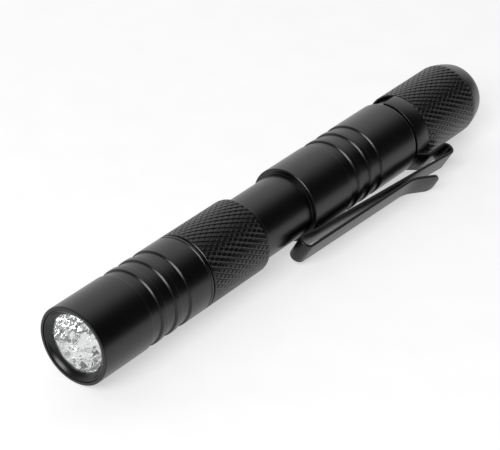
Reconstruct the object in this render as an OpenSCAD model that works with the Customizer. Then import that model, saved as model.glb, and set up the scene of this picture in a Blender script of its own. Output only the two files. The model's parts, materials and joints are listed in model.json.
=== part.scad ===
// Penlight for two AAA cells with a tail switch and a two-way pocket clip.
// It lies along X on a table, lens at the low end, on its barrel and on the tip of its clip.
// Axial places below run from the front rim (0) to the tail along the barrel's own axis.

/* [Barrel] */
// Largest diameter of head, grip, sleeve and tail cap
barrel_d = 16.5; // [13.5:0.1:20]
// Length of the head, from the front rim to the parting line
head_l = 31.7; // [29:0.1:34]
// Length of the knurled grip behind the head
grip_l = 17.7; // [14:0.1:22]
// Depth of the slim waist below the barrel's surface
waist_step = 1.15; // [0.8:0.05:1.6]
// Length of the slim waist
waist_l = 15.5; // [12:0.1:18]
// Depth of the neck that the clip grips below the barrel's surface
neck_step = 0.95; // [0.75:0.05:1.15]
// Length of the neck that the clip grips
neck_l = 5; // [4.5:0.1:7]
// Chamfer on the barrel's edges
edge_chamfer = 0.25; // [0.1:0.05:0.4]
// Chamfer at the grip's rear edge
grip_chamfer = 0.4; // [0.1:0.05:0.6]

/* [Grooves] */
// Number of grooves in each group
groove_count = 3; // [1:1:4]
// Distance from one groove to the next
groove_pitch = 4.2; // [3:0.1:4.4]
// Width of a groove
groove_w = 2.5; // [1:0.1:2.8]
// Depth of a groove
groove_depth = 0.35; // [0.1:0.05:0.5]
// Distance from the front rim to the head's first groove
head_groove_z = 13.6; // [6:0.1:15]
// Distance from the sleeve's front edge to its first groove
sleeve_groove_z = 12.4; // [4:0.1:18]

/* [Bezel and lens] */
// Chamfer on the front rim
rim_chamfer = 0.4; // [0.1:0.05:0.5]
// Wall round the counterbore that takes the bezel ring
rim_wall_t = 0.7; // [0.6:0.05:0.9]
// Depth of the counterbore that takes the bezel ring
bezel_bore_l = 2.4; // [2.2:0.05:3]
// Setback of the bezel ring behind the front rim
bezel_recess = 0.15; // [0.05:0.05:0.4]
// Flat land round the bezel ring's dish
bezel_land = 0.1; // [0.05:0.05:0.2]
// Depth of the bezel ring's dish
dish_depth = 0.8; // [0.4:0.05:1]
// Thickness of the lip in front of the lens
lip_t = 0.15; // [0.1:0.05:0.4]
// Width of the lip in front of the lens
lip_w = 0.6; // [0.3:0.05:1.2]
// Thickness of the lens
lens_t = 1.5; // [1.4:0.05:2.2]
// Wall round the bore for lens, reflector and pill
optic_wall_t = 1.4; // [1.3:0.05:1.6]

/* [Light engine] */
// Length of the reflector
reflector_l = 9.4; // [8:0.1:10]
// Width of the reflector's flange round its mouth
reflector_flange_w = 0.75; // [0.5:0.05:1.2]
// Diameter of the reflector's throat
reflector_throat_d = 3.8; // [3.2:0.1:5]
// Thickness of the reflector's rear rim
reflector_rim_t = 1.3; // [0.8:0.1:1.6]
// Length of the reflector's front flange
reflector_flange_l = 1.5; // [1:0.1:3]
// Side of the square LED package
led_side = 3.45; // [2.5:0.05:3.6]
// Height of the LED package and of the ring that centres it
led_t = 0.6; // [0.4:0.05:1]
// Diameter of the LED's dome
led_dome_d = 2.6; // [2:0.1:3]
// Inner diameter of the centering ring
centering_bore_d = 5.2; // [5.1:0.1:6]
// Width of the centering ring
centering_w = 2.4; // [1:0.1:2.6]
// Gap round the LED board
board_inset = 0.85; // [0.2:0.05:1.5]
// Thickness of the LED board
led_board_t = 1.2; // [0.8:0.1:1.6]
// Length of the pill
pill_l = 7.2; // [6:0.1:7.6]
// Wall round the pill's pocket for the driver board
pill_wall_t = 1.2; // [0.6:0.05:1.8]
// Depth of the pocket for the driver board
pill_pocket_l = 2.4; // [1.8:0.1:3]
// Width of the step that the driver board stands on
pill_step_w = 0.6; // [0.3:0.05:1]
// Depth of the well under the driver board
pill_well_l = 1.6; // [1:0.1:2]
// Thickness of the driver board
driver_t = 1.2; // [0.8:0.1:1.6]
// Diameter of the wires from the driver to the LED board
wire_d = 0.9; // [0.6:0.05:1.1]
// Diameter of the holes that these wires run through
wire_hole_d = 1.5; // [1.2:0.05:1.8]
// Distance from the well's side to the middle of a wire
wire_inset = 2; // [1:0.1:3]
// Thickness of the ledge that the pill stands on
ledge_t = 1.6; // [1:0.1:2]
// Width of that ledge
ledge_w = 1.05; // [0.5:0.05:1.8]

/* [Cells] */
// Radial gap round the cells
cell_gap = 0.15; // [0.1:0.05:0.5]
// Length of a cell over its contacts
cell_l = 44.5; // [43:0.1:46]
// Diameter of a cell's positive contact
cell_nub_d = 3.8; // [3:0.1:5]
// Height of a cell's positive contact
cell_nub_l = 0.8; // [0.5:0.1:1.2]
// Thickness of the barrel from its surface to the cells' bore
tube_wall_t = 2.85; // [2.6:0.05:3.2]
// Distance from the pill to the front cell's contact
front_contact_l = 2.4; // [2:0.1:3.5]
// Distance from the head's ledge to the body tube's front end
tube_setback = 0.4; // [0.2:0.1:1]

/* [Threads and seals] */
// Wall round the threads at both ends of the body tube
thread_wall_t = 1.2; // [1.1:0.05:1.4]
// Thickness of the tenon seals
seal_t = 1; // [0.8:0.05:1.1]
// Distance from a shoulder to the seal's groove
seal_setback = 0.7; // [0.4:0.1:1.5]
// Thickness of the bezel seal
bezel_seal_t = 0.6; // [0.4:0.05:0.65]

/* [Clip] */
// Width of the clip's strip
clip_w = 5.5; // [4.5:0.1:6.5]
// Thickness of the clip's strip
clip_t = 0.7; // [0.5:0.05:0.8]
// Radius of the clip's two bends, at the middle of the strip
bend_r = 1.5; // [1.3:0.05:1.8]
// Length of the base over the tail cap, from the neck's rear end to the rear bend's middle
base_l = 4.1; // [3.5:0.1:6]
// Gap between the clip's base and the tail cap
base_gap = 0.25; // [0.15:0.05:0.5]
// Reach of the front bend's middle past the sleeve's front edge
toe_reach = 4.87; // [4:0.05:6]
// Depth of the front bend's inner side inside the sleeve's surface, at the middle of the strip
toe_dip = 0.13; // [0:0.01:0.2]
// Gap between the arm and the sleeve's front edge
toe_gap = 0.25; // [0.15:0.05:0.5]
// Distance from the sleeve's front edge to the arm's knee
knee_z = 9.1; // [6:0.1:12]
// Gap between the arm and the sleeve at the knee
knee_gap = 0.98; // [0.6:0.02:1.4]
// Length of the outer arm, from the front bend's middle to its flare
tongue_l = 35.6; // [30:0.1:37]
// Gap between the two arms where the flare begins
tongue_gap = 0.12; // [0.1:0.01:0.4]
// Length of the flared tab along the barrel
tab_l = 6.8; // [5:0.1:8]
// Rise of the flared tab away from the barrel
tab_rise = 2.8; // [1.5:0.1:3.5]
// Radius of the flared tab's corners
tab_corner_r = 1.6; // [0.8:0.1:2]
// Angle from the clip's middle to each end of its clamp
clamp_angle = 128.5; // [110:0.5:140]
// Slit between the pieces of the clip at each bend
bend_slit = 0.3; // [0.25:0.01:0.4]

/* [Tail cap] */
// Length of the tail cap
cap_l = 23; // [22:0.1:24]
// Length of the tail cap's rounded end
cap_round_l = 4.9; // [3:0.1:6]
// Depth of the tail cap's rear edge below the barrel's surface
cap_end_step = 1.8; // [1.2:0.1:2.2]
// Width of the tail cap's rear face round the button
cap_lip_w = 1.75; // [1.2:0.05:2.2]
// Thickness of the tail cap's rear wall
cap_wall_t = 3; // [2.5:0.1:4]
// Wall round the pocket for the button's flange
flange_wall_t = 1.95; // [1.6:0.05:2.2]
// Length of the pocket for the button's flange
flange_bore_l = 3; // [2.9:0.1:4]

/* [Switch] */
// Height of the button above the tail cap
button_proud = 1; // [0.8:0.1:1.4]
// Height of the button's domed end
button_dome_l = 0.9; // [0.5:0.05:1]
// Radial gap round the button's flange
flange_gap = 0.3; // [0.2:0.05:0.5]
// Thickness of the button's flange
button_flange_t = 1.3; // [1:0.1:1.5]
// Diameter of the plunger's stem, which fills the hollow in the button
plunger_d = 4; // [3:0.1:5]
// Thickness of the button's end
button_end_t = 1.9; // [1.2:0.1:2.2]
// Length of the switch housing
housing_l = 5.7; // [5.4:0.1:6.5]
// Thickness of the switch housing's floor
housing_floor_t = 1.5; // [1:0.1:2]
// Wall round the switch housing's well
housing_wall_t = 2.4; // [1.8:0.1:2.8]
// Radial gap round the plunger's disc
plunger_gap = 0.2; // [0.1:0.05:0.4]
// Thickness of the plunger's disc
plunger_disc_t = 1.1; // [0.8:0.1:1.4]
// Setback of the plunger's disc inside the housing
plunger_setback = 0.2; // [0.1:0.05:0.4]
// Length of the switch's threaded retaining ring
retainer_l = 2.3; // [1.6:0.1:3]
// Width of the switch's retaining ring
retainer_w = 1.8; // [1:0.1:2.2]
// Diameter of the tail spring's contact disc
seat_d = 7; // [6:0.1:8]
// Thickness of the tail spring's contact disc
seat_t = 0.55; // [0.4:0.05:1]

/* [Springs] */
// Length of the tail spring as fitted
tail_spring_l = 4.5; // [4:0.1:6]
// Diameter of the tail spring at the contact disc, at the middle of its wire
tail_spring_d = 5.6; // [4:0.1:6]
// Diameter of the contact springs at the cells, at the middle of their wire
spring_tip_d = 3.2; // [2.4:0.1:4]
// Diameter of the driver's spring at the driver board, at the middle of its wire
driver_spring_d = 5; // [4:0.1:6]
// Distance from the well's side to the middle of the return spring's wire
return_spring_inset = 1; // [0.5:0.05:1.4]
// Thickness of the contact springs' wire
contact_wire_d = 0.5; // [0.3:0.05:0.6]
// Thickness of the return spring's wire
return_wire_d = 0.45; // [0.3:0.05:0.5]

/* [Fits] */
// Radial gap of threads and of pieces that are pushed into a bore
fit_gap = 0.05; // [0.02:0.01:0.1]
// Gap between faces that turn or slide on each other
seat_gap = 0.05; // [0.03:0.01:0.1]
// Radial gap between the clip's clamp and the neck
clamp_gap = 0.03; // [0.02:0.01:0.08]
// Gap at each side of the clip's clamp in the neck
clamp_side_gap = 0.2; // [0.1:0.05:0.4]
// Radial gap round the button
button_gap = 0.1; // [0.05:0.01:0.2]

/* [Hidden] */
$fn = 64;

// Overrun of every cut
overrun = 1;

// Radii
barrel_r = barrel_d / 2;
waist_r = barrel_r - waist_step;
neck_r = barrel_r - neck_step;
tube_bore_r = barrel_r - tube_wall_t;
cell_r = tube_bore_r - cell_gap;
thread_r = barrel_r - thread_wall_t;
tenon_r = thread_r - fit_gap;
bezel_bore_r = barrel_r - rim_wall_t;
bezel_r = bezel_bore_r - fit_gap;
optic_bore_r = barrel_r - optic_wall_t;
optic_r = optic_bore_r - fit_gap;
lens_view_r = optic_r - lip_w;
mouth_r = optic_r - reflector_flange_w;
throat_r = reflector_throat_d / 2;
pill_pocket_r = optic_r - pill_wall_t;
pill_well_r = pill_pocket_r - pill_step_w;
cap_end_r = barrel_r - cap_end_step;
button_hole_r = cap_end_r - cap_lip_w;
button_r = button_hole_r - button_gap;
plunger_r = plunger_d / 2;
button_hollow_r = plunger_r + fit_gap;
flange_bore_r = barrel_r - flange_wall_t;
housing_well_r = tenon_r - housing_wall_t;
return_spring_r = housing_well_r - return_spring_inset;

// Places of the light engine, front to back
dish_z = bezel_recess + dish_depth;
lens_z = dish_z + lip_t;
reflector_z = lens_z + lens_t;
led_z = reflector_z + reflector_l;
led_board_z = led_z + led_t;
pill_z = led_board_z + led_board_t;
ledge_z = pill_z + pill_l;
thread_z = ledge_z + ledge_t;
driver_z = ledge_z - pill_pocket_l;
driver_spring_z = driver_z + driver_t;

// Places of the cells and of the switch behind them
cell_front_z = ledge_z + front_contact_l;
cell_rear_z = cell_front_z + cell_l;
cells_end_z = cell_rear_z + cell_l;
tail_spring_z = cells_end_z + seat_gap;
seat_z = tail_spring_z + tail_spring_l;
housing_z = seat_z + seat_t + seat_gap;
housing_end_z = housing_z + housing_l;
plunger_end_z = housing_end_z - plunger_setback;
plunger_z = plunger_end_z - plunger_disc_t;
return_spring_z = housing_z + housing_floor_t;
cap_wall_z = housing_end_z + flange_bore_l;
cap_end_z = cap_wall_z + cap_wall_t;
cap_z = cap_end_z - cap_l;
cap_round_z = cap_end_z - cap_round_l;
retainer_z = housing_z - retainer_l;
button_flange_z = cap_wall_z - seat_gap - button_flange_t;
button_end_z = cap_end_z + button_proud;
button_dome_z = button_end_z - button_dome_l;
button_hollow_z = button_end_z - button_end_t;
total_l = button_end_z;

// Places of the body tube
tube_z = thread_z + tube_setback;
grip_end_z = head_l + grip_l;
sleeve_z = grip_end_z + waist_l;
neck_end_z = cap_z - seat_gap;
sleeve_end_z = neck_end_z - neck_l;
tube_end_z = retainer_z - 2 * seat_gap;

// Seals: each ring fills its groove's depth and stays a fit's gap clear of the bore round it
seal_r = tenon_r - seal_t / 2;
seal_groove_r = tenon_r - seal_t;
seal_groove_w = seal_t + 2 * fit_gap;
head_seal_z = head_l - seal_setback - seal_groove_w;
tail_seal_z = neck_end_z + seal_setback;
bezel_seal_r = (bezel_bore_r + optic_bore_r) / 2;

// Clip: places along the barrel (first) and distances from its axis (second)
base_r = barrel_r + base_gap + clip_t / 2;
rear_bend = [neck_end_z + base_l, base_r + bend_r];
front_bend = [sleeve_z - toe_reach, barrel_r - toe_dip + bend_r];
toe_edge = [sleeve_z, barrel_r + toe_gap + clip_t / 2];
knee = [sleeve_z + knee_z, barrel_r + knee_gap + clip_t / 2];
arm_rear_top = rear_bend + [0, bend_r];
arm_slope = atan2(arm_rear_top[1] - knee[1], arm_rear_top[0] - knee[0]);
toe_slope = atan2(toe_edge[1] - front_bend[1] + bend_r, toe_edge[0] - front_bend[0]);
flare_z = front_bend[0] + tongue_l;
flare_r = knee[1] + tan(arm_slope) * (flare_z - knee[0]) + clip_t + tongue_gap;
flare = [flare_z, flare_r];
tongue_slope = atan2(flare[1] - front_bend[1] - bend_r, tongue_l);
tab_end = flare + [tab_l, tab_rise];
tab_slope = atan2(tab_rise, tab_l);
slit_angle = asin(bend_slit / 2 / bend_r);
clamp_r = neck_r + clamp_gap;
clamp_z = sleeve_end_z + clamp_side_gap;
clamp_l = neck_l - 2 * clamp_side_gap;

// Outer corner of the tab's end, rounded in plan: places along, across and away from the barrel
tab_tip = tab_end + clip_t / 2 * [-sin(tab_slope), cos(tab_slope)];
corner_turns = [0 : 15 : 90];
tab_corner = [for (a = corner_turns)
    [tab_tip[0] - tab_corner_r * (1 - cos(a)), clip_w / 2 - tab_corner_r * (1 - sin(a)),
     tab_tip[1] - tab_corner_r * (1 - cos(a)) * tan(tab_slope)]];

// Roll that brings the tab's corner down to the table, and the box's middle across
roll = min([for (c = tab_corner) asin(barrel_r / norm([c[1], c[2]])) - atan2(c[1], c[2])]);
clip_reach = max([for (c = tab_corner) c[2] * cos(roll) + c[1] * sin(roll)]);
middle_y = (clip_reach - barrel_r) / 2;

// Finishes
anodised = [0.07, 0.07, 0.075];
clip_black = [0.1, 0.1, 0.1];
steel = [0.72, 0.72, 0.72];
brass = [0.78, 0.62, 0.32];
rubber = [0.04, 0.04, 0.04];
clear = [0.85, 0.9, 0.95];
mirror_bright = [0.9, 0.9, 0.92];
white_plastic = [0.93, 0.93, 0.9];
board_green = [0.1, 0.35, 0.2];
cell_silver = [0.62, 0.64, 0.68];
switch_grey = [0.25, 0.25, 0.27];
wire_red = [0.6, 0.12, 0.1];

// Coils have few sides, because they are hidden
coil_sides = 6;
coil_steps = 10;
contact_turns = 3;
return_turns = 2;

// Shares that shape the rounded ends and the bowl
cap_round_share = 0.4;
round_steps = 8;
bowl_steps = 12;

// Lays what is drawn along Z, with the clip towards X, on the table
module lay() {
    translate([-total_l / 2, middle_y, barrel_r])
        rotate([0, 90, 0])
            rotate([0, 0, roll - 90])
                children();
}

// Tube between two radii and two places
module ring(r_in, r_out, z0, z1) {
    rotate_extrude()
        translate([r_in, z0])
            square([r_out - r_in, z1 - z0]);
}

// Solid of revolution from a list of [radius, place]
module turned(points) {
    rotate_extrude()
        polygon(points);
}

// Round wire ring whose section has its middle at radius r and place z
module seal_ring(r, z, t) {
    rotate_extrude()
        translate([r, z])
            circle(d = t, $fn = 24);
}

// Group of grooves round the barrel
module grooves(z) {
    for (i = [0 : groove_count - 1]) {
        groove_z = z + i * groove_pitch;
        ring(barrel_r - groove_depth, barrel_r + overrun, groove_z, groove_z + groove_w);
    }
}

// Wire wound from radius r0 at place z0 to radius r1 at place z1
module coil(r0, r1, z0, z1, turns, wire) {
    steps = turns * coil_steps;
    rows = [for (i = [0 : steps])
        let (a = 360 * i / coil_steps, share = i / steps)
        let (r = r0 + (r1 - r0) * share, z = z0 + wire / 2 + (z1 - z0 - wire) * share)
        [for (k = [0 : coil_sides - 1])
            let (b = 360 * k / coil_sides, reach = r + wire / 2 * cos(b))
            [reach * cos(a), reach * sin(a), z + wire / 2 * sin(b)]]];
    function at(i, k) = i * coil_sides + k % coil_sides;
    wall = [for (i = [0 : steps - 1], k = [0 : coil_sides - 1])
        each [[at(i, k), at(i, k + 1), at(i + 1, k + 1)], [at(i, k), at(i + 1, k + 1), at(i + 1, k)]]];
    start = [for (k = [1 : coil_sides - 2]) [at(0, 0), at(0, k + 1), at(0, k)]];
    end = [for (k = [1 : coil_sides - 2]) [at(steps, 0), at(steps, k), at(steps, k + 1)]];
    polyhedron(points = [for (row = rows) each row], faces = concat(wall, start, end));
}

// Points of an arc about a middle
function arc(middle, r, a0, a1) =
    [for (i = [0 : round_steps])
        let (a = a0 + (a1 - a0) * i / round_steps)
        middle + r * [cos(a), sin(a)]];

// Points of a path moved sideways by d
function along(p, i) = p[min(i + 1, len(p) - 1)] - p[max(i - 1, 0)];
function beside(p, d) =
    [for (i = [0 : len(p) - 1])
        let (v = along(p, i) / norm(along(p, i)))
        p[i] + d * [-v[1], v[0]]];
function reversed(p) = [for (i = [len(p) - 1 : -1 : 0]) p[i]];

// Clip strip along a path of [place, distance from the axis]
module strip(path) {
    rotate(a = -120, v = [1, 1, 1])
        linear_extrude(clip_w, center = true)
            polygon(concat(beside(path, clip_t / 2), reversed(beside(path, -clip_t / 2))));
}

module head_shell() {
    color(anodised) lay() difference() {
        turned([
            [bezel_bore_r, 0],
            [barrel_r - rim_chamfer, 0],
            [barrel_r, rim_chamfer],
            [barrel_r, head_l - edge_chamfer],
            [barrel_r - edge_chamfer, head_l],
            [thread_r, head_l],
            [thread_r, thread_z],
            [optic_bore_r - ledge_w, thread_z],
            [optic_bore_r - ledge_w, ledge_z],
            [optic_bore_r, ledge_z],
            [optic_bore_r, bezel_bore_l],
            [bezel_bore_r, bezel_bore_l]
        ]);
        grooves(head_groove_z);
    }
}

module bezel_ring() {
    bezel_end_z = bezel_bore_l - bezel_seal_t;
    color(anodised) lay() turned([
        [bezel_r, bezel_recess],
        [bezel_r, bezel_end_z],
        [optic_bore_r, bezel_end_z],
        [optic_bore_r, lens_z],
        [lens_view_r, lens_z],
        [lens_view_r, dish_z],
        [bezel_r - bezel_land, bezel_recess]
    ]);
}

module bezel_o_ring() {
    color(rubber) lay() seal_ring(bezel_seal_r, bezel_bore_l - bezel_seal_t / 2, bezel_seal_t);
}

module lens_window() {
    color(clear) lay() translate([0, 0, lens_z]) cylinder(r = optic_r, h = lens_t);
}

// The bowl is a paraboloid: its depth grows with the square of its radius
module reflector() {
    spread = mouth_r * mouth_r - throat_r * throat_r;
    bowl = [for (i = [0 : bowl_steps])
        let (r = mouth_r + (throat_r - mouth_r) * i / bowl_steps)
        [r, reflector_z + reflector_l * (mouth_r * mouth_r - r * r) / spread]];
    color(mirror_bright) lay() turned(concat(bowl, [
        [throat_r + reflector_rim_t, led_z],
        [mouth_r, reflector_z + reflector_flange_l],
        [optic_r, reflector_z + reflector_flange_l],
        [optic_r, reflector_z]
    ]));
}

module led_centering_ring() {
    bore_r = centering_bore_d / 2;
    color(white_plastic) lay() ring(bore_r, bore_r + centering_w, led_z, led_board_z);
}

module led_emitter() {
    color(white_plastic) lay()
        translate([-led_side / 2, -led_side / 2, led_z])
            cube([led_side, led_side, led_t]);
}

module led_dome() {
    color(clear) lay() intersection() {
        translate([0, 0, led_z]) sphere(d = led_dome_d);
        translate([0, 0, led_z - led_dome_d]) cylinder(d = led_dome_d + overrun, h = led_dome_d);
    }
}

module led_board() {
    color(white_plastic) lay() ring(0, optic_bore_r - board_inset, led_board_z, pill_z);
}

// Two rods of diameter d between two places
module wire_pair(d, z0, z1) {
    for (side = [-1, 1])
        translate([side * (pill_well_r - wire_inset), 0, z0])
            cylinder(d = d, h = z1 - z0);
}

module led_wires() {
    color(wire_red) lay() wire_pair(wire_d, pill_z, driver_z);
}

module pill() {
    color(brass) lay() difference() {
        ring(0, optic_r, pill_z, ledge_z);
        ring(0, pill_pocket_r, driver_z, ledge_z + overrun);
        ring(0, pill_well_r, driver_z - pill_well_l, ledge_z);
        wire_pair(wire_hole_d, pill_z - overrun, ledge_z);
    }
}

module driver_board() {
    color(board_green) lay() ring(0, pill_pocket_r - fit_gap, driver_z, driver_spring_z);
}

module driver_spring() {
    wide_r = driver_spring_d / 2;
    tip_r = spring_tip_d / 2;
    color(brass) lay() coil(wide_r, tip_r, driver_spring_z, cell_front_z, contact_turns, contact_wire_d);
}

module body_tube() {
    color(anodised) lay() difference() {
        turned([
            [tube_bore_r, tube_z],
            [tenon_r, tube_z],
            [tenon_r, head_l],
            [barrel_r - edge_chamfer, head_l],
            [barrel_r, head_l + edge_chamfer],
            [barrel_r, grip_end_z - grip_chamfer],
            [barrel_r - grip_chamfer, grip_end_z],
            [waist_r, grip_end_z],
            [waist_r, sleeve_z],
            [barrel_r - edge_chamfer, sleeve_z],
            [barrel_r, sleeve_z + edge_chamfer],
            [barrel_r, sleeve_end_z - edge_chamfer],
            [barrel_r - edge_chamfer, sleeve_end_z],
            [neck_r, sleeve_end_z],
            [neck_r, neck_end_z],
            [tenon_r, neck_end_z],
            [tenon_r, tube_end_z],
            [tube_bore_r, tube_end_z]
        ]);
        grooves(sleeve_z + sleeve_groove_z);
        ring(seal_groove_r, tenon_r + fit_gap, head_seal_z, head_seal_z + seal_groove_w);
        ring(seal_groove_r, tenon_r + fit_gap, tail_seal_z, tail_seal_z + seal_groove_w);
    }
}

module head_o_ring() {
    color(rubber) lay() seal_ring(seal_r, head_seal_z + seal_groove_w / 2, seal_t);
}

module tail_o_ring() {
    color(rubber) lay() seal_ring(seal_r, tail_seal_z + seal_groove_w / 2, seal_t);
}

// Cell with its positive contact forward
module cell(z) {
    color(cell_silver) lay() {
        ring(0, cell_nub_d / 2, z, z + cell_nub_l);
        ring(0, cell_r, z + cell_nub_l, z + cell_l);
    }
}

module battery_front() {
    cell(cell_front_z);
}

module battery_rear() {
    cell(cell_rear_z);
}

// Clamp round the neck, bridged under the strip, with the base and half of the rear bend
module clip_clamp() {
    far = barrel_d + barrel_d;
    end = far * [cos(clamp_angle), sin(clamp_angle)];
    color(clip_black) lay() {
        translate([0, 0, clamp_z]) linear_extrude(clamp_l) difference() {
            union() {
                circle(r = clamp_r + clip_t);
                translate([0, -clip_w / 2])
                    square([base_r + clip_t / 2, clip_w]);
            }
            circle(r = clamp_r);
            translate([0, clip_t - clip_w / 2])
                square([base_r - clip_t / 2, clip_w - 2 * clip_t]);
            polygon([[0, 0], end, [end[0], -end[1]]]);
        }
        strip(concat([[clamp_z, base_r]], arc(rear_bend, bend_r, -90, -slit_angle)));
    }
}

// Inner arm, with half of each bend
module clip_arm() {
    color(clip_black) lay() strip(concat(
        arc(rear_bend, bend_r, slit_angle, 90 + arm_slope),
        [knee, toe_edge],
        arc(front_bend, bend_r, toe_slope - 90, slit_angle - 180)
    ));
}

// Outer arm, with half of the front bend and the flared tab
module clip_tongue() {
    front_z = front_bend[0] - bend_r - clip_t;
    plan = [for (c = tab_corner) [c[0], c[1]]];
    mirrored = [for (c = reversed(tab_corner)) [c[0], -c[1]]];
    color(clip_black) lay() intersection() {
        strip(concat(
            arc(front_bend, bend_r, 180 - slit_angle, 90 + tongue_slope),
            [flare, tab_end + [tab_l, tab_rise] * overrun / tab_l]
        ));
        rotate([0, -90, 0])
            translate([0, 0, -barrel_d])
                linear_extrude(barrel_d)
                    polygon(concat(mirrored, plan, [[front_z, clip_w / 2], [front_z, -clip_w / 2]]));
    }
}

// The rounded end blends a quarter ellipse with a straight taper
module tail_cap() {
    drop = barrel_r - cap_end_r;
    rounded = [for (i = [0 : round_steps])
        let (a = 90 * i / round_steps)
        let (share = cap_round_share * cos(a) + (1 - cap_round_share) * (1 - sin(a)))
        [cap_end_r + drop * share, cap_round_z + cap_round_l * sin(a)]];
    color(anodised) lay() turned(concat(
        [
            [thread_r, cap_z],
            [barrel_r - edge_chamfer, cap_z],
            [barrel_r, cap_z + edge_chamfer]
        ],
        rounded,
        [
            [button_hole_r, cap_end_z],
            [button_hole_r, cap_wall_z],
            [flange_bore_r, cap_wall_z],
            [flange_bore_r, housing_end_z],
            [thread_r, housing_end_z]
        ]
    ));
}

module switch_retaining_ring() {
    color(brass) lay() ring(tenon_r - retainer_w, tenon_r, retainer_z, housing_z);
}

module switch_housing() {
    color(switch_grey) lay() difference() {
        ring(0, tenon_r, housing_z, housing_end_z);
        ring(0, housing_well_r, return_spring_z, housing_end_z + overrun);
    }
}

module switch_spring() {
    color(steel) lay()
        coil(return_spring_r, return_spring_r, return_spring_z, plunger_z, return_turns, return_wire_d);
}

module switch_plunger() {
    color(white_plastic) lay() {
        ring(0, housing_well_r - plunger_gap, plunger_z, plunger_end_z);
        ring(0, plunger_r, plunger_end_z, button_hollow_z);
    }
}

module switch_boot() {
    flange_r = flange_bore_r - flange_gap;
    dome = [for (i = [0 : round_steps])
        let (a = 90 * i / round_steps)
        [button_r * cos(a), button_dome_z + button_dome_l * sin(a)]];
    color(rubber) lay() turned(concat(
        [
            [button_hollow_r, button_hollow_z],
            [button_hollow_r, button_flange_z],
            [flange_r, button_flange_z],
            [flange_r, button_flange_z + button_flange_t],
            [button_r, button_flange_z + button_flange_t]
        ],
        dome,
        [[0, button_hollow_z]]
    ));
}

module spring_seat() {
    color(brass) lay() ring(0, seat_d / 2, seat_z, seat_z + seat_t);
}

module tail_spring() {
    tip_r = spring_tip_d / 2;
    wide_r = tail_spring_d / 2;
    color(steel) lay() coil(tip_r, wide_r, tail_spring_z, seat_z, contact_turns, contact_wire_d);
}

head_shell();
bezel_ring();
bezel_o_ring();
lens_window();
reflector();
led_centering_ring();
led_emitter();
led_dome();
led_board();
led_wires();
pill();
driver_board();
driver_spring();
body_tube();
head_o_ring();
battery_front();
battery_rear();
tail_o_ring();
clip_clamp();
clip_arm();
clip_tongue();
tail_cap();
switch_retaining_ring();
switch_housing();
switch_spring();
switch_plunger();
switch_boot();
spring_seat();
tail_spring();
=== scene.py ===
"""Penlight: detailed meshes, finishes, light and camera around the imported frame."""
import json
import math

import bmesh
import bpy
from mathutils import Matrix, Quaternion, Vector


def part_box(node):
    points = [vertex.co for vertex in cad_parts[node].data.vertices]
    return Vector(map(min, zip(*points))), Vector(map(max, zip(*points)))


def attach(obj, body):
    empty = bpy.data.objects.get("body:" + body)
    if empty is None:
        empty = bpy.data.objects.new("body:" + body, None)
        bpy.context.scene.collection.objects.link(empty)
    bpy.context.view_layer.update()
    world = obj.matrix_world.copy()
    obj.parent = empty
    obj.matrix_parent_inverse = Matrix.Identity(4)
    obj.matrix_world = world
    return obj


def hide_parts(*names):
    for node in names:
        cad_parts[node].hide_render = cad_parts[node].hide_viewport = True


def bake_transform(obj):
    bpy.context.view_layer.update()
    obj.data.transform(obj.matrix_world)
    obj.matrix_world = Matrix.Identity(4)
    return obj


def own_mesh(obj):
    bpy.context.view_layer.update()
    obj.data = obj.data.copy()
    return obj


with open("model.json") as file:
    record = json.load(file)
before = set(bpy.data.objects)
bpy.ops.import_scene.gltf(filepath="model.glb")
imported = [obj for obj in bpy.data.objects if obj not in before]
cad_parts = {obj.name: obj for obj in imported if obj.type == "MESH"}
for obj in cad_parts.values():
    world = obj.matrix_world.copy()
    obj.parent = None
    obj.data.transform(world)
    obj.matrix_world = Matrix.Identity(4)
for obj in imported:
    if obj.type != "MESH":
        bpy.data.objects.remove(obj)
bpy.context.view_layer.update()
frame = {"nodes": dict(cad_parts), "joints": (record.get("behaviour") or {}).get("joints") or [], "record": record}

MM = 0.001

# Axes and places of the frame: along the barrel from the front rim, towards the clip, and across the clip
JOINTS = {joint["name"]: joint for joint in frame["joints"]}
HEAD_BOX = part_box("head_shell")
BARREL_R = (HEAD_BOX[1].z - HEAD_BOX[0].z) / 2 / MM
FRONT = Vector((HEAD_BOX[0].x, (HEAD_BOX[0].y + HEAD_BOX[1].y) / 2, (HEAD_BOX[0].z + HEAD_BOX[1].z) / 2))
ALONG = Vector((1, 0, 0))
ACROSS = Vector(JOINTS["clip_tongue_flex"]["axis"]).normalized()
CLIPWARD = ACROSS.cross(ALONG)


def starts(node):
    """Place along the barrel, in millimetres, where a node starts."""
    return (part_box(node)[0].x - FRONT.x) / MM


def ends(node):
    """Place along the barrel, in millimetres, where a node ends."""
    return (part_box(node)[1].x - FRONT.x) / MM


def spot(along, clipward, across=0.0):
    """Point of the frame, in metres, from millimetres in the penlight's own directions."""
    return FRONT + MM * (along * ALONG + clipward * CLIPWARD + across * ACROSS)


def pivot(name):
    """Place of a clip hinge along the barrel and its distance from the axis, in millimetres."""
    offset = Vector(JOINTS[name]["pos_m"]) - FRONT
    return offset.dot(ALONG) / MM, offset.dot(CLIPWARD) / MM


# Barrel, in millimetres
GRIP_L = 17.7
WAIST_L = 15.5
NECK_L = 5.0
CAP_GAP = 0.05
HEAD_END = ends("head_shell")
GRIP_END = HEAD_END + GRIP_L
SLEEVE_START = GRIP_END + WAIST_L
CAP_START = starts("tail_cap")
CAP_END = ends("tail_cap")
NECK_END = CAP_START - CAP_GAP
SLEEVE_END = NECK_END - NECK_L
WAIST_R = BARREL_R - 1.15
NECK_R = BARREL_R - 0.95
TENON_R = BARREL_R - 1.25
THREAD_R = BARREL_R - 1.2
PARTING_R = THREAD_R + 0.2
CELL_BORE_R = BARREL_R - 2.85
SOFT_EDGE = 0.08
INNER_EDGE = 0.05

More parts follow.
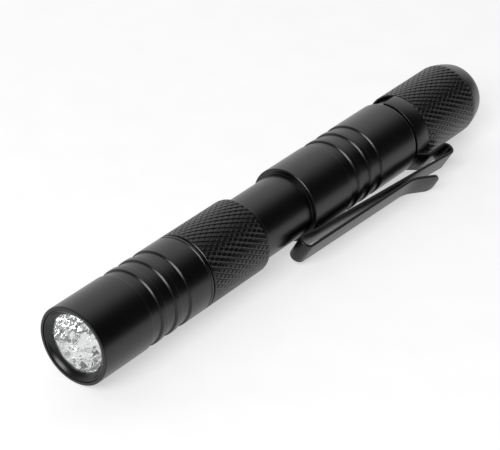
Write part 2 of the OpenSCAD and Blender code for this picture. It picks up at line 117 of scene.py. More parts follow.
# Front rim, bezel and optics
RIM_ROUND = 0.5
BEZEL_BORE_R = BARREL_R - 0.7
BEZEL_R = BEZEL_BORE_R - 0.09
OPTIC_BORE_R = BARREL_R - 1.4
OPTIC_R = OPTIC_BORE_R - 0.05
LENS_VIEW_R = OPTIC_R - 0.6

# Grooves: the rear wall has a chamfered edge
GROOVE_COUNT = 3
GROOVE_PITCH = 4.2
GROOVE_W = 2.5
GROOVE_DEPTH = 0.35
GROOVE_FRONT_EDGE = 0.18
GROOVE_CHAMFER = 0.3
HEAD_GROOVE = 13.6
SLEEVE_GROOVE = SLEEVE_START + 12.4

# Knurl: diamonds cut by two sets of starts, with flat tops and V-shaped grooves
KNURL_STARTS = 42
KNURL_STEPS = 6
SEGMENTS = KNURL_STARTS * KNURL_STEPS
KNURL_PITCH = 2.2
KNURL_ROW = KNURL_PITCH / KNURL_STEPS
KNURL_DEPTH = 0.105
FIRST_SET = 0.88
SECOND_SET = 1.0

# Thread on the tail tenon, one turn a millimetre as the joint's coupling says
THREAD_PITCH = 1.0
THREAD_DEPTH = 0.42
THREAD_STEPS = 8
THREAD_MARGIN = 0.6
THREAD_ENTRY = 0.2

# Clip strip: points are places along the barrel with their distances from its axis
CLIP_W = 5.5
CLIP_T = 0.64
CLIP_EDGE = 0.1
REAR_BEND_R = 1.22
REAR_BEND_LIFT = 0.15
FRONT_BEND_R = 1.4
REAR_HINGE = pivot("clip_arm_flex")
REAR_BEND = (REAR_HINGE[0], REAR_HINGE[1] + REAR_BEND_LIFT)
FRONT_BEND = pivot("clip_tongue_flex")
CLAMP_GAP = 0.6
CLAMP_PLAY = 0.08
CLAMP_SINK = 0.05
CLAMP_START = SLEEVE_END + CLAMP_GAP
CLAMP_L = CAP_START - CLAMP_PLAY - CLAMP_START
CLAMP_R = BARREL_R - CLAMP_SINK - CLIP_T / 2
CLAMP_ANGLE = 128.5
RAMP_END = starts("clip_clamp") + 3.3
RAMP_SINK = 0.31
RAMP_ROUND = 0.9
TOE = (SLEEVE_START, BARREL_R + 0.7)
TOE_ROUND = 1.5
KNEE = (SLEEVE_START + 9.1, BARREL_R + 1.2)
KNEE_ROUND = 4.0
MEETING = SLEEVE_START + 15.1
TONGUE_L = 35.6
TONGUE_RISE = 0.73
FLARE = (FRONT_BEND[0] + TONGUE_L, FRONT_BEND[1] + FRONT_BEND_R + TONGUE_RISE)
FLARE_ROUND = 2.0
TAB_L = 6.8
TAB_RISE = 2.8
TAB_END = (FLARE[0] + TAB_L, FLARE[1] + TAB_RISE)
TAB_CORNER_R = 1.6
TAB_CORNER_STEP = 15
TAB_MARGIN = 0.05
FOLD_START = 0.35
STRIP_STEP = 1.0
BEND_STEPS = 24
CLAMP_STEPS = 96

# Fineness of the meshes
SHARP_ANGLE = math.radians(25)
ROUND_STEPS = 4
MOST_OF_SIDE = 0.45
CLOSE_ROW = 0.4
MOST_OF_ROW = 0.05
CORNER_STEPS = 3
LEVEL = 1e-6


def rounded(corners, closed=True):
    """Outline of (x, y, rounding) corners with each corner rounded off and a close row at both its sides."""
    outline = []
    count = len(corners)
    for i, (x, y, rounding) in enumerate(corners):
        here = Vector((x, y))
        at_end = not closed and i in (0, count - 1)
        if rounding == 0 or at_end:
            outline.append((x, y))
            continue
        before = Vector(corners[i - 1][:2]) - here
        after = Vector(corners[(i + 1) % count][:2]) - here
        reach = min(rounding, MOST_OF_SIDE * before.length, MOST_OF_SIDE * after.length)
        first = here + before.normalized() * reach
        last = here + after.normalized() * reach
        margin = CLOSE_ROW * reach
        outline.append(tuple(first + before.normalized() * min(margin, MOST_OF_ROW * before.length)))
        for step in range(ROUND_STEPS + 1):
            s = step / ROUND_STEPS
            point = (1 - s) ** 2 * first + 2 * s * (1 - s) * here + s * s * last
            outline.append(tuple(point))
        outline.append(tuple(last + after.normalized() * min(margin, MOST_OF_ROW * after.length)))
    return outline


def arc(middle, radius, start, end, steps):
    """Points of an arc about a middle, with its angles in degrees."""
    points = []
    for step in range(steps + 1):
        a = math.radians(start + (end - start) * step / steps)
        points.append((middle[0] + radius * math.cos(a), middle[1] + radius * math.sin(a)))
    return points


def knurl_share(segment, row):
    """Depth of the knurl at a lattice place, as a share: most along two sets of grooves and 0 on the tops."""
    share = 0.0
    for line, depth in ((segment + row, FIRST_SET), (segment - row, SECOND_SET)):
        away = line % KNURL_STEPS
        away = min(away, KNURL_STEPS - away)
        share = max(share, depth * (1 - away))
    return share


def knurled(start):
    """Cut of a knurl whose lattice starts at a place along the barrel."""
    def cut(along, radius, segment):
        row = (along - start) / KNURL_ROW
        return min(radius, BARREL_R - KNURL_DEPTH * knurl_share(segment, row))
    return cut


def threaded(along, radius, segment):
    """Cut of the thread, a triangular wave that climbs one pitch a turn."""
    turns = along / THREAD_PITCH - segment / SEGMENTS
    return radius - THREAD_DEPTH * abs(2 * (turns % 1) - 1)


def mesh_object(name, points, faces):
    """Object from points and faces, with its faces turned outwards and its sharp edges marked."""
    mesh = bpy.data.meshes.new(name)
    mesh.from_pydata(points, [], faces)
    form = bmesh.new()
    form.from_mesh(mesh)
    bmesh.ops.recalc_face_normals(form, faces=form.faces)
    form.to_mesh(mesh)
    form.free()
    mesh.shade_smooth()
    mesh.set_sharp_from_angle(angle=SHARP_ANGLE)
    piece = bpy.data.objects.new(name, mesh)
    bpy.context.scene.collection.objects.link(piece)
    return piece


def split_quad(corners, radii):
    """Two triangles of a quad, folded along its flatter or else its lower diagonal."""
    a, b, c, d = corners
    first_fall = abs(radii[0] - radii[2])
    second_fall = abs(radii[1] - radii[3])
    flatter = first_fall - second_fall
    lower = radii[0] + radii[2] - radii[1] - radii[3]
    if flatter < -LEVEL or (abs(flatter) <= LEVEL and lower < 0):
        return [(a, b, c), (a, c, d)]
    return [(a, b, d), (b, c, d)]


def turned(name, outline, closed=True):
    """Surface of revolution of (along, radius) points, or (along, radius, cut) where a pattern is cut in."""
    points = []
    rings = []
    for row in outline:
        along, radius = row[:2]
        cut = row[2] if len(row) > 2 else None
        if radius == 0:
            rings.append(([len(points)], [0.0], cut))
            points.append(spot(along, 0))
            continue
        radii = [radius] * SEGMENTS
        if cut:
            radii = [cut(along, radius, segment) for segment in range(SEGMENTS)]
        rings.append((list(range(len(points), len(points) + SEGMENTS)), radii, cut))
        for segment, reach in enumerate(radii):
            a = math.tau * segment / SEGMENTS
            points.append(spot(along, reach * math.cos(a), reach * math.sin(a)))
    faces = []
    pairs = list(zip(rings, rings[1:]))
    if closed:
        pairs.append((rings[-1], rings[0]))
    for (low, low_radii, low_cut), (high, high_radii, high_cut) in pairs:
        for i in range(SEGMENTS):
            j = (i + 1) % SEGMENTS
            if len(low) == 1:
                faces.append((low[0], high[i], high[j]))
            elif len(high) == 1:
                faces.append((low[i], high[0], low[j]))
            elif low_cut and high_cut:
                corners = (low[i], high[i], high[j], low[j])
                radii = (low_radii[i], high_radii[i], high_radii[j], low_radii[j])
                faces.extend(split_quad(corners, radii))
            else:
                faces.append((low[i], high[i], high[j], low[j]))
    return mesh_object(name, points, faces)


def groove_corners(start):
    """Corners of one group of grooves."""
    corners = []
    floor_r = BARREL_R - GROOVE_DEPTH
    for i in range(GROOVE_COUNT):
        front = start + i * GROOVE_PITCH
        rear = front + GROOVE_W
        corners += [
            (front, BARREL_R, GROOVE_FRONT_EDGE),
            (front, floor_r, INNER_EDGE),
            (rear, floor_r, INNER_EDGE),
            (rear, BARREL_R - GROOVE_CHAMFER, INNER_EDGE),
            (rear + GROOVE_CHAMFER, BARREL_R, SOFT_EDGE),
        ]
    return corners


def seal_corners(start):
    """Corners of a seal's groove in a tenon."""
    end = start + SEAL_W
    floor_r = TENON_R - SEAL_DEPTH
    return [
        (start, TENON_R, SOFT_EDGE),
        (start, floor_r, INNER_EDGE),
        (end, floor_r, INNER_EDGE),
        (end, TENON_R, SOFT_EDGE),
    ]


def rows(start, end, step):
    """Places from a start to an end, at about a step."""
    count = max(1, round((end - start) / step))
    return [start + (end - start) * i / count for i in range(count + 1)]


def sweep(points, side, half_w, half_t, edge=CLIP_EDGE):
    """Rounded strip along points, with its width along side; half widths are one number for each point."""
    rings = []
    vertices = []
    for i, point in enumerate(points):
        before = points[max(i - 1, 0)]
        after = points[min(i + 1, len(points) - 1)]
        normal = side.cross(after - before).normalized()
        rings.append([])
        for sign_w, sign_t, turn in ((1, 1, 0), (-1, 1, 90), (-1, -1, 180), (1, -1, 270)):
            for step in range(CORNER_STEPS + 1):
                a = math.radians(turn + 90 * step / CORNER_STEPS)
                w = sign_w * (half_w[i] - edge) + edge * math.cos(a)
                t = sign_t * (half_t[i] - edge) + edge * math.sin(a)
                rings[-1].append(len(vertices))
                vertices.append(point + MM * (w * side + t * normal))
    faces = [tuple(reversed(rings[0])), tuple(rings[-1])]
    for low, high in zip(rings, rings[1:]):
        for i in range(len(low)):
            j = (i + 1) % len(low)
            faces.append((low[i], low[j], high[j], high[i]))
    return vertices, faces


def joined(name, *parts):
    """One closed mesh made of overlapping closed ones."""
    solids = [mesh_object(name + str(i), *part) for i, part in enumerate(parts)]
    whole = solids[0]
    for other in solids[1:]:
        union = whole.modifiers.new("union", "BOOLEAN")
        union.operation = "UNION"
        union.solver = "EXACT"
        union.object = other
    evaluated = whole.evaluated_get(bpy.context.evaluated_depsgraph_get())
    mesh = bpy.data.meshes.new_from_object(evaluated)
    for solid in solids:
        bpy.data.objects.remove(solid)
    mesh.name = name
    mesh.shade_smooth()
    mesh.set_sharp_from_angle(angle=SHARP_ANGLE)
    piece = bpy.data.objects.new(name, mesh)
    bpy.context.scene.collection.objects.link(piece)
    return piece


# Finishes
def add(tree, kind, **settings):
    """Adds a shader node with some of its inputs or properties set."""
    node = tree.nodes.new(kind)
    for name, value in settings.items():
        key = name.replace("_", " ").title()
        if key in node.inputs:
            node.inputs[key].default_value = value
        else:
            setattr(node, name, value)
    return node


CLOUD_SIZE = 9.0
CLOUD_DETAIL = 2.0
CLOUD_STOPS = (0.35, 0.65)
GRAIN_DETAIL = 3.0


def grained(name, dark, light, rough, grain, bump, metallic=0.0):
    """Finish with a fine grain in relief and gloss and a broad cloud in colour; sizes are in millimetres."""
    material = bpy.data.materials.new(name)
    material.use_nodes = True
    tree = material.node_tree
    shader = tree.nodes["Principled BSDF"]
    shader.inputs["Metallic"].default_value = metallic
    place = add(tree, "ShaderNodeTexCoord")
    fine = add(tree, "ShaderNodeTexNoise", detail=GRAIN_DETAIL, scale=1 / (grain * MM))
    tree.links.new(place.outputs["Object"], fine.inputs["Vector"])
    gloss = add(tree, "ShaderNodeMapRange", to_min=rough[0], to_max=rough[1])
    tree.links.new(fine.outputs["Fac"], gloss.inputs["Value"])
    tree.links.new(gloss.outputs["Result"], shader.inputs["Roughness"])
    relief = add(tree, "ShaderNodeBump", strength=1.0, distance=bump * MM)
    tree.links.new(fine.outputs["Fac"], relief.inputs["Height"])
    tree.links.new(relief.outputs["Normal"], shader.inputs["Normal"])
    cloud = add(tree, "ShaderNodeTexNoise", detail=CLOUD_DETAIL, scale=1 / (CLOUD_SIZE * MM))
    tree.links.new(place.outputs["Object"], cloud.inputs["Vector"])
    tint = add(tree, "ShaderNodeValToRGB")
    for stop, position, colour in zip(tint.color_ramp.elements, CLOUD_STOPS, (dark, light)):
        stop.position = position
        stop.color = (*colour, 1)
    tree.links.new(cloud.outputs["Fac"], tint.inputs["Fac"])
    tree.links.new(tint.outputs["Color"], shader.inputs["Base Color"])
    return material


# Dark and light colour, least and most roughness, grain size, height of the relief, and share of metal if any
LOOKS = {
    "black_anodised": ((0.0015, 0.0015, 0.0016), (0.0025, 0.0025, 0.0026), (0.26, 0.34), 0.12, 0.0025),
    "clip_black": ((0.002, 0.002, 0.002), (0.003, 0.003, 0.003), (0.26, 0.36), 0.1, 0.003),
    "lens_glass": ((0.97, 0.98, 0.98), (0.98, 0.99, 0.99), (0.0, 0.02), 3.0, 0.0),
    "reflector_bright": ((0.95, 0.95, 0.95), (0.98, 0.98, 0.98), (0.02, 0.07), 0.5, 0.0, 0.9),
    "brass": ((0.72, 0.52, 0.24), (0.8, 0.61, 0.31), (0.22, 0.34), 0.3, 0.004, 1.0),
    "black_rubber": ((0.018, 0.018, 0.018), (0.03, 0.03, 0.03), (0.55, 0.7), 0.15, 0.006),
    "button_rubber": ((0.016, 0.016, 0.016), (0.026, 0.026, 0.026), (0.5, 0.68), 0.12, 0.008),
    "white_plastic": ((0.82, 0.82, 0.79), (0.88, 0.88, 0.85), (0.38, 0.5), 0.2, 0.003),
    "led_package": ((0.86, 0.84, 0.78), (0.92, 0.9, 0.84), (0.45, 0.6), 0.08, 0.003),
    "led_silicone": ((0.93, 0.88, 0.6), (0.96, 0.91, 0.66), (0.02, 0.06), 0.5, 0.0),
    "led_board": ((0.84, 0.84, 0.82), (0.9, 0.9, 0.88), (0.3, 0.42), 0.2, 0.003),
    "wire_red": ((0.5, 0.06, 0.05), (0.6, 0.09, 0.07), (0.35, 0.5), 0.2, 0.003),
    "board_green": ((0.05, 0.24, 0.12), (0.08, 0.3, 0.16), (0.28, 0.4), 0.2, 0.003),
    "cell_jacket": ((0.58, 0.6, 0.64), (0.66, 0.68, 0.72), (0.2, 0.3), 0.25, 0.003, 1.0),
    "switch_grey": ((0.17, 0.17, 0.19), (0.22, 0.22, 0.24), (0.42, 0.55), 0.2, 0.004),
    "spring_steel": ((0.62, 0.62, 0.64), (0.72, 0.72, 0.74), (0.18, 0.3), 0.15, 0.003, 1.0),
}
FINISHES = {slot: grained(slot, *look) for slot, look in LOOKS.items()}
GLASS_IOR = 1.5
SILICONE_IOR = 1.42


def clear(slot, ior):
    """Makes a finish see-through."""
    shader = FINISHES[slot].node_tree.nodes["Principled BSDF"]
    shader.inputs["Transmission Weight"].default_value = 1.0
    shader.inputs["IOR"].default_value = ior


clear("lens_glass", GLASS_IOR)
clear("led_silicone", SILICONE_IOR)


def dress(piece, slot):
    """Gives a piece the finish of a slot."""
    piece.data.materials.clear()
    piece.data.materials.append(FINISHES[slot])


def place_piece(piece, body, slot, *nodes):
    """Dresses a piece, rides it on a body and stands it in for CAD nodes."""
    dress(piece, slot)
    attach(piece, body)
    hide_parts(*nodes)


# Head: rounded front rim, three grooves, and a fine line and rounded bead before the parting
BEAD_LINE = HEAD_END - 1.05
BEAD_LINE_W = 0.25
BEAD_LINE_DEPTH = 0.16
BEAD_REAR = HEAD_END - 0.12
BEAD_ROUND = 0.3
BEZEL_BORE_L = 2.4
LEDGE_L = 1.6
LEDGE_R = OPTIC_BORE_R - 1.05


def make_head():
    ledge = ends("pill")
    thread = ledge + LEDGE_L
    corners = [
        (0, BEZEL_BORE_R, SOFT_EDGE),
        (0, BARREL_R, RIM_ROUND),
        *groove_corners(HEAD_GROOVE),
        (BEAD_LINE, BARREL_R, SOFT_EDGE),
        (BEAD_LINE, BARREL_R - BEAD_LINE_DEPTH, 0),
        (BEAD_LINE + BEAD_LINE_W, BARREL_R - BEAD_LINE_DEPTH, 0),
        (BEAD_LINE + BEAD_LINE_W + BEAD_LINE_DEPTH, BARREL_R, INNER_EDGE),
        (BEAD_REAR, BARREL_R, BEAD_ROUND),
        (BEAD_REAR, PARTING_R, 0),
        (HEAD_END, PARTING_R, 0),
        (HEAD_END, THREAD_R, 0),
        (thread, THREAD_R, 0),
        (thread, LEDGE_R, 0),
        (ledge, LEDGE_R, 0),
        (ledge, OPTIC_BORE_R, 0),
        (BEZEL_BORE_L, OPTIC_BORE_R, 0),
        (BEZEL_BORE_L, BEZEL_BORE_R, 0),
    ]
    head = turned("head_shell_mesh", rounded(corners))
    place_piece(head, "barrel", "black_anodised", "head_shell")


# Bezel: dished ring that holds the lens
LIP_T = 0.06
DISH = 0.55
DISH_ROUND = 0.9
FACE_W = 0.2


def make_bezel():
    front = starts("bezel_ring")
    rear = ends("bezel_ring")
    lens_front = starts("lens_window")
    corners = [
        (front, BEZEL_R, SOFT_EDGE),
        (rear, BEZEL_R, 0),
        (rear, OPTIC_BORE_R, 0),
        (lens_front, OPTIC_BORE_R, 0),
        (lens_front, LENS_VIEW_R, 0),
        (lens_front - LIP_T, LENS_VIEW_R, 0),
        (front + DISH, LENS_VIEW_R + DISH, DISH_ROUND),
        (front, BEZEL_R - FACE_W, SOFT_EDGE),
    ]
    bezel = turned("bezel_ring_mesh", rounded(corners))
    place_piece(bezel, "barrel", "black_anodised", "bezel_ring")


# Lens: flat window right behind the bezel's lip
LENS_T = 0.8
LENS_EDGE = 0.1


def make_lens():
    front = starts("lens_window")
    rear = front + LENS_T
    outline = rounded(
        [(front, 0, 0), (front, OPTIC_R, LENS_EDGE), (rear, OPTIC_R, LENS_EDGE), (rear, 0, 0)], closed=False)
    lens = turned("lens_window_mesh", outline, closed=False)
    place_piece(lens, "barrel", "lens_glass", "lens_window")


# Reflector: bright bowl with a dimpled surface
LENS_GAP = 0.05
MOUTH_R = OPTIC_R - 0.75
THROAT_R = 1.9
THROAT_WALL = 1.3
FLANGE_T = 1.5
BOWL_ROWS = 60
DIMPLES_ROUND = 9
DIMPLES_ALONG = 3
DIMPLE_DEPTH = 0.1


def dimpled(start, end):
    """Cut of dimples in staggered rings between two places."""
    def cut(along, radius, segment):
        along_wave = math.cos(math.tau * DIMPLES_ALONG * (along - start) / (end - start))
        round_wave = math.cos(math.tau * DIMPLES_ROUND * segment / SEGMENTS)
        return radius - DIMPLE_DEPTH * (1 + along_wave * round_wave)
    return cut


def make_reflector():
    rim = starts("lens_window") + LENS_T + LENS_GAP
    mouth = starts("reflector")
    rear = ends("reflector")
    cut = dimpled(rim, rear)
    bowl = []
    for along in rows(rim, rear, (rear - rim) / BOWL_ROWS):
        share = (along - mouth) / (rear - mouth)
        bowl.append((along, math.sqrt(MOUTH_R ** 2 + (THROAT_R ** 2 - MOUTH_R ** 2) * share), cut))
    flange_rear = mouth + FLANGE_T
    back = [(rear, THROAT_R + THROAT_WALL), (flange_rear, MOUTH_R), (flange_rear, OPTIC_R), (rim, OPTIC_R)]
    reflector = turned("reflector_mesh", bowl + back)
    place_piece(reflector, "barrel", "reflector_bright", "reflector")


def knurl_rows(start, end, cut):
    """Outline of a knurled stretch between two places."""
    count = math.floor((end - start) / KNURL_ROW)
    return [(start + i * KNURL_ROW, BARREL_R, cut) for i in range(count + 1)]


# Body tube: knurled grip, waist, grooved sleeve, clip neck and the two tenons
GRIP_FRONT = HEAD_END + 0.25
GRIP_CHAMFER = 0.16
GRIP_ROUND = 0.42
GRIP_LAND = 0.14
WAIST_FILLET = 0.12
SLEEVE_CHAMFER = 0.16
SLEEVE_ROUND = 0.4
NECK_FILLET = 0.1
TENON_ROUND = 0.2
TIP_CHAMFER = 0.3
SEAL_W = 1.1
SEAL_INSET = 0.7
SEAL_DEPTH = 1.0


def make_body():
    front_seal = HEAD_END - SEAL_INSET - SEAL_W
    rear_seal = NECK_END + SEAL_INSET
    plain_end = rear_seal + SEAL_W + THREAD_MARGIN
    root_r = TENON_R - THREAD_DEPTH
    tube_start = starts("body_tube")
    tube_end = ends("body_tube")
    knurl_start = GRIP_FRONT + GRIP_CHAMFER + GRIP_LAND
    knurl_end = GRIP_END - GRIP_ROUND - GRIP_LAND
    cut = knurled(knurl_start)
    front = rounded([
        (tube_start, CELL_BORE_R, 0),
        (tube_start, TENON_R, TENON_ROUND),
        *seal_corners(front_seal),
        (HEAD_END, TENON_R, 0),
        (HEAD_END, PARTING_R, 0),
        (GRIP_FRONT, PARTING_R, 0),
        (GRIP_FRONT, BARREL_R - GRIP_CHAMFER, INNER_EDGE),
        (GRIP_FRONT + GRIP_CHAMFER, BARREL_R, INNER_EDGE),
        (knurl_start - INNER_EDGE, BARREL_R, 0),
    ], closed=False)
    grip = knurl_rows(knurl_start, knurl_end, cut)
    sleeve = rounded([
        (grip[-1][0] + KNURL_DEPTH, BARREL_R, 0),
        (GRIP_END, BARREL_R, GRIP_ROUND),
        (GRIP_END, WAIST_R, WAIST_FILLET),
        (SLEEVE_START, WAIST_R, WAIST_FILLET),
        (SLEEVE_START, BARREL_R - SLEEVE_CHAMFER, INNER_EDGE),
        (SLEEVE_START + SLEEVE_CHAMFER, BARREL_R, INNER_EDGE),
        *groove_corners(SLEEVE_GROOVE),
        (SLEEVE_END, BARREL_R, SLEEVE_ROUND),
        (SLEEVE_END, NECK_R, NECK_FILLET),
        (NECK_END, NECK_R, SOFT_EDGE),
        (NECK_END, TENON_R, NECK_FILLET),
        *seal_corners(rear_seal),
        (plain_end, TENON_R, 0),
    ], closed=False)
    thread_rows = rows(plain_end + THREAD_ENTRY, tube_end - THREAD_MARGIN, THREAD_PITCH / THREAD_STEPS)
    thread = [(along, TENON_R, threaded) for along in thread_rows]
    tail = [(tube_end - TIP_CHAMFER, root_r), (tube_end, root_r - TIP_CHAMFER), (tube_end, CELL_BORE_R)]
    body = turned("body_tube_mesh", front + grip + sleeve + thread + tail)
    place_piece(body, "barrel", "black_anodised", "body_tube")


# Tail cap: knurled, with a smooth rounded end round the button
CAP_ROUND_L = 4.9
CAP_END_R = BARREL_R - 1.8
BUTTON_HOLE_R = CAP_END_R - 1.75
CAP_ROUND_SHARE = 0.4
CAP_EDGE = 0.05
CAP_LEAD_IN = 1.1
CAP_LIP = 0.3
HOLE_ROUND = 0.15
BOOT_SEAT_R = BARREL_R - 1.95
BOOT_SEAT_L = 3.0
TAPER_STEPS = 28


def make_cap():
    knurl_end = CAP_END - CAP_ROUND_L
    knurl_start = CAP_START + CAP_EDGE
    cut = knurled(knurl_start)
    taper = []
    for i in range(1, TAPER_STEPS):
        a = math.pi / 2 * i / TAPER_STEPS
        share = CAP_ROUND_SHARE * math.cos(a) + (1 - CAP_ROUND_SHARE) * (1 - math.sin(a))
        taper.append((knurl_end + CAP_ROUND_L * math.sin(a), CAP_END_R + (BARREL_R - CAP_END_R) * share, cut))
    housing_end = ends("switch_housing")
    wall = housing_end + BOOT_SEAT_L
    inside = rounded([
        (CAP_END, CAP_END_R, 0),
        (CAP_END, BUTTON_HOLE_R, HOLE_ROUND),
        (wall, BUTTON_HOLE_R, 0),
        (wall, BOOT_SEAT_R, 0),
        (housing_end, BOOT_SEAT_R, 0),
        (housing_end, THREAD_R, 0),
        (CAP_START + CAP_LEAD_IN, THREAD_R, 0),
        (CAP_START, BARREL_R - CAP_LIP, 0),
        (CAP_START, BARREL_R - KNURL_DEPTH, 0),
    ], closed=False)
    cap = turned("tail_cap_mesh", knurl_rows(knurl_start, knurl_end, cut) + taper + inside)
    place_piece(cap, "tail_cap", "black_anodised", "tail_cap")


# Button: rubber boot with a shallow ring round its dome
BUTTON_R = BUTTON_HOLE_R - 0.1
BOOT_FLANGE_R = BOOT_SEAT_R - 0.3
BOOT_FLANGE_T = 1.3
HOLLOW_R = 2.05
BOOT_TOP_T = 1.9
DOME_L = 0.9
DOME_STEPS = 48
RING_R = 3.1
RING_W = 0.35
RING_DEPTH = 0.12


def make_button():
    front = starts("switch_boot")
    flange_rear = front + BOOT_FLANGE_T
    top = ends("switch_boot")
    hollow = top - BOOT_TOP_T
    dome_start = top - DOME_L
    side = [
        (hollow, 0),
        (hollow, HOLLOW_R),
        (front, HOLLOW_R),
        (front, BOOT_FLANGE_R),
        (flange_rear, BOOT_FLANGE_R),
        (flange_rear, BUTTON_R),
        (dome_start, BUTTON_R),
    ]
    dome = []
    for i in range(1, DOME_STEPS):
        a = math.pi / 2 * i / DOME_STEPS
        r = BUTTON_R * math.cos(a)
        dent = RING_DEPTH * math.exp(-((r - RING_R) / RING_W) ** 2)
        dome.append((dome_start + DOME_L * math.sin(a) - dent, r))
    button = turned("switch_boot_mesh", side + dome + [(top, 0)], closed=False)
    place_piece(button, "button", "button_rubber", "switch_boot")


# Return spring: coil with closed ends, drawn at one length and riding on the tail cap
RETURN_WIRE_R = 0.225
RETURN_TURNS = 3.5
RETURN_CLOSED = 0.75
COIL_STEPS = 36


def make_return_spring():
    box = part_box("switch_spring")
    coil_r = (box[1].y - box[0].y) / 2 / MM - RETURN_WIRE_R
    start = starts("switch_spring")
    length = ends("switch_spring") - start
    front = start + RETURN_WIRE_R
    rise = length - 2 * RETURN_WIRE_R
    points = []
    for i in range(round(RETURN_TURNS * COIL_STEPS) + 1):
        turns = i / COIL_STEPS
        share = (turns - RETURN_CLOSED) / (RETURN_TURNS - 2 * RETURN_CLOSED)
        a = math.tau * turns
        points.append(spot(front + rise * min(1, max(0, share)), coil_r * math.cos(a), coil_r * math.sin(a)))
    wire = [RETURN_WIRE_R] * len(points)
    spring = mesh_object("switch_spring_mesh", *sweep(points, ALONG, wire, wire, RETURN_WIRE_R))
    place_piece(spring, "tail_cap", "spring_steel", "switch_spring")
    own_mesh(spring)


# Clip: one bent strip of spring steel, drawn as two meshes that meet on the inner arm
def strip_points(path):
    return [spot(along, clipward) for along, clipward in path]


def evenly(path, step):
    """Path with its straight runs cut into steps."""
    points = [path[0]]
    for start, end in zip(path, path[1:]):
        length = math.dist(start, end)
        count = max(1, math.ceil(length / step))
        for i in range(1, count + 1):
            share = i / count
            points.append((start[0] + (end[0] - start[0]) * share, start[1] + (end[1] - start[1]) * share))
    return points


def clamp_part():
    """Band round the neck, open on the far side."""
    ring = arc((0, 0), CLAMP_R, CLAMP_ANGLE, -CLAMP_ANGLE, CLAMP_STEPS)
    middle = CLAMP_START + CLAMP_L / 2
    points = [spot(middle, *place) for place in ring]
    return sweep(points, ALONG, [CLAMP_L / 2] * len(points), [CLIP_T / 2] * len(points))


def make_clip():
    arm_slope = math.atan2(REAR_BEND[1] + REAR_BEND_R - KNEE[1], REAR_BEND[0] - KNEE[0])
    meeting = (MEETING, KNEE[1] + math.tan(arm_slope) * (MEETING - KNEE[0]))
    base = (REAR_BEND[0], REAR_BEND[1] - REAR_BEND_R)
    ramp = rounded(
        [(CLAMP_START, CLAMP_R - RAMP_SINK, 0), (RAMP_END, base[1], RAMP_ROUND), (*base, 0)], closed=False)
    bend = arc(REAR_BEND, REAR_BEND_R, -90, 90 + math.degrees(arm_slope), BEND_STEPS)
    rear_path = evenly(ramp + bend[1:] + [meeting], STRIP_STEP)
    toe_slope = math.degrees(math.atan2(TOE[1] - FRONT_BEND[1] + FRONT_BEND_R, TOE[0] - FRONT_BEND[0]))
    tongue_slope = math.degrees(math.atan2(TONGUE_RISE, TONGUE_L))
    bend = arc(FRONT_BEND, FRONT_BEND_R, toe_slope - 90, tongue_slope - 270, BEND_STEPS)
    inner = rounded([(*meeting, 0), (*KNEE, KNEE_ROUND), (*TOE, TOE_ROUND), (*bend[0], 0)], closed=False)
    outer = rounded([(*bend[-1], 0), (*FLARE, FLARE_ROUND), (*TAB_END, 0)], closed=False)
    front_path = evenly(inner[:-1] + bend + outer[1:], STRIP_STEP)

    rear_points = strip_points(rear_path)
    rear_part = sweep(rear_points, ACROSS, [CLIP_W / 2] * len(rear_points), [CLIP_T / 2] * len(rear_points))
    rear = joined("clip_rear_mesh", rear_part, clamp_part())
    dress(rear, "clip_black")
    fold_start = base[1] + CLIP_T / 2 + INNER_EDGE
    spot(REAR_BEND[0], fold_start)
    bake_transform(rear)
    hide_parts("clip_clamp", "clip_arm")

    tip_rows = [TAB_CORNER_R * (1 - math.cos(math.radians(a))) for a in range(90, -1, -TAB_CORNER_STEP)]
    run = math.dist(FLARE, TAB_END)
    direction = ((TAB_END[0] - FLARE[0]) / run, (TAB_END[1] - FLARE[1]) / run)
    tip = [(TAB_END[0] - direction[0] * back, TAB_END[1] - direction[1] * back) for back in tip_rows]
    body_path = [point for point in front_path if point[0] < tip[0][0] - TAB_MARGIN]
    widths = [CLIP_W / 2] * len(body_path)
    for back in tip_rows:
        lost = TAB_CORNER_R - math.sqrt(max(0.0, TAB_CORNER_R ** 2 - (TAB_CORNER_R - back) ** 2))
        widths.append(CLIP_W / 2 - lost)
    front_points = strip_points(body_path + tip)
    front = mesh_object(
        "clip_front_mesh", *sweep(front_points, ACROSS, widths, [CLIP_T / 2] * len(front_points)))
    dress(front, "clip_black")
    fold_start = FRONT_BEND[1] + FOLD_START
    spot(FRONT_BEND[0], fold_start)
    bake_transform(front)
    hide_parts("clip_tongue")


def dress_frame():
    """Gives every CAD node the finish that its record slot names."""
    for part in frame["record"]["subparts"]:
        dress(frame["nodes"][part["node"]], part["material_slot"])


# Floor, light and camera
FLOOR_HALF = 4.0
FLOOR_LOOK = ((0.54, 0.54, 0.54), (0.56, 0.56, 0.56), (0.8, 0.9), 1.5, 0.0)
FLOOR_GLOW = 0.55
WORLD_LEVEL = 1.05
WORLD_DARK = 0.03
BRIGHT_SIDE = Vector((0.6, 1.0, 0.4)).normalized()
DARK_UNTIL = 0.24
BRIGHT_FROM = 0.83
KEY_PLACE = (-0.65, -0.14, 0.61)
KEY_SIZE = 0.5
KEY_POWER = 6.0


def seen_directly(tree):
    """Output that is 1 for camera, mirrored and refracted rays and 0 for light that falls on the object."""
    path = add(tree, "ShaderNodeLightPath")
    total = None
    for ray in ("Is Camera Ray", "Is Glossy Ray", "Is Transmission Ray"):
        if total is None:
            total = path.outputs[ray]
            continue
        either = add(tree, "ShaderNodeMath", operation="MAXIMUM")
        tree.links.new(total, either.inputs[0])
        tree.links.new(path.outputs[ray], either.inputs[1])
        total = either.outputs["Value"]
    return total


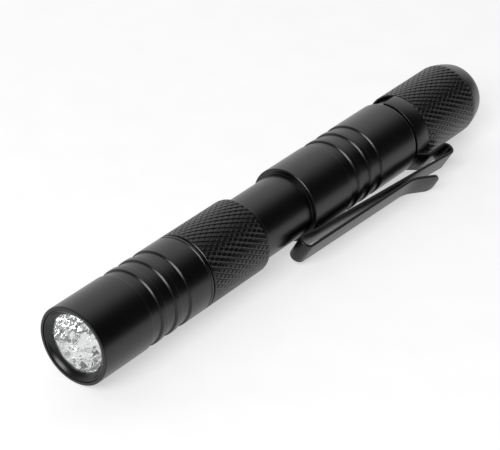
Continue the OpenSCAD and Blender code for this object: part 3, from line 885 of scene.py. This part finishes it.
def make_floor():
    """White floor that keeps a soft shadow."""
    corners = [(-FLOOR_HALF, -FLOOR_HALF, 0), (FLOOR_HALF, -FLOOR_HALF, 0),
               (FLOOR_HALF, FLOOR_HALF, 0), (-FLOOR_HALF, FLOOR_HALF, 0)]
    mesh = bpy.data.meshes.new("floor")
    mesh.from_pydata(corners, [], [(0, 1, 2, 3)])
    floor = bpy.data.objects.new("floor", mesh)
    bpy.context.scene.collection.objects.link(floor)
    paper = grained("floor_paper", *FLOOR_LOOK)
    tree = paper.node_tree
    shader = tree.nodes["Principled BSDF"]
    shader.inputs["Specular IOR Level"].default_value = 0.0
    shader.inputs["Emission Color"].default_value = (FLOOR_GLOW, FLOOR_GLOW, FLOOR_GLOW, 1)
    tree.links.new(seen_directly(tree), shader.inputs["Emission Strength"])
    mesh.materials.append(paper)


def make_world():
    """Surroundings that are white behind the penlight and above it and dark on the camera's side."""
    world = bpy.data.worlds.new("studio")
    world.use_nodes = True
    bpy.context.scene.world = world
    tree = world.node_tree
    background = tree.nodes["Background"]
    direction = add(tree, "ShaderNodeTexCoord")
    toward = add(tree, "ShaderNodeVectorMath", operation="DOT_PRODUCT")
    toward.inputs[1].default_value = BRIGHT_SIDE
    tree.links.new(direction.outputs["Generated"], toward.inputs[0])
    level = add(tree, "ShaderNodeMapRange", interpolation_type="SMOOTHSTEP")
    level.inputs["From Min"].default_value = DARK_UNTIL
    level.inputs["From Max"].default_value = BRIGHT_FROM
    level.inputs["To Min"].default_value = WORLD_DARK
    level.inputs["To Max"].default_value = WORLD_LEVEL
    tree.links.new(toward.outputs["Value"], level.inputs["Value"])
    tree.links.new(level.outputs["Result"], background.inputs["Strength"])
    background.inputs["Color"].default_value = (1, 1, 1, 1)


def make_key():
    """Square lamp that faces the penlight."""
    lamp = bpy.data.lights.new("key", "AREA")
    lamp.shape = "SQUARE"
    lamp.size = KEY_SIZE
    lamp.energy = KEY_POWER
    light = bpy.data.objects.new("key", lamp)
    light.location = KEY_PLACE
    light.rotation_euler = (-Vector(KEY_PLACE)).to_track_quat("-Z", "Y").to_euler()
    bpy.context.scene.collection.objects.link(light)


CAMERA_PLACE = MM * Vector((-284.92, -188.63, 241.92))
CAMERA_TARGET = MM * Vector((-1.213, 10.635, 0.0))
CAMERA_ROLL = math.radians(5.568)
CAMERA_LENS = 144.36
CAMERA_SENSOR = 36.0
CAMERA_NEAR = 0.01
CAMERA_FAR = 50


def make_camera():
    data = bpy.data.cameras.new("camera")
    data.lens = CAMERA_LENS
    data.sensor_width = CAMERA_SENSOR
    data.clip_start = CAMERA_NEAR
    data.clip_end = CAMERA_FAR
    camera = bpy.data.objects.new("camera", data)
    view = CAMERA_TARGET - CAMERA_PLACE
    camera.rotation_mode = "QUATERNION"
    camera.rotation_quaternion = Quaternion(-view, CAMERA_ROLL) @ view.to_track_quat("-Z", "Y")
    camera.location = CAMERA_PLACE
    bpy.context.scene.collection.objects.link(camera)
    bpy.context.scene.camera = camera


dress_frame()
make_head()
make_bezel()
make_lens()
make_reflector()
make_body()
make_cap()
make_button()
make_return_spring()
make_clip()
make_floor()
make_world()
make_key()
make_camera()
bpy.context.scene.view_settings.view_transform = "Standard"
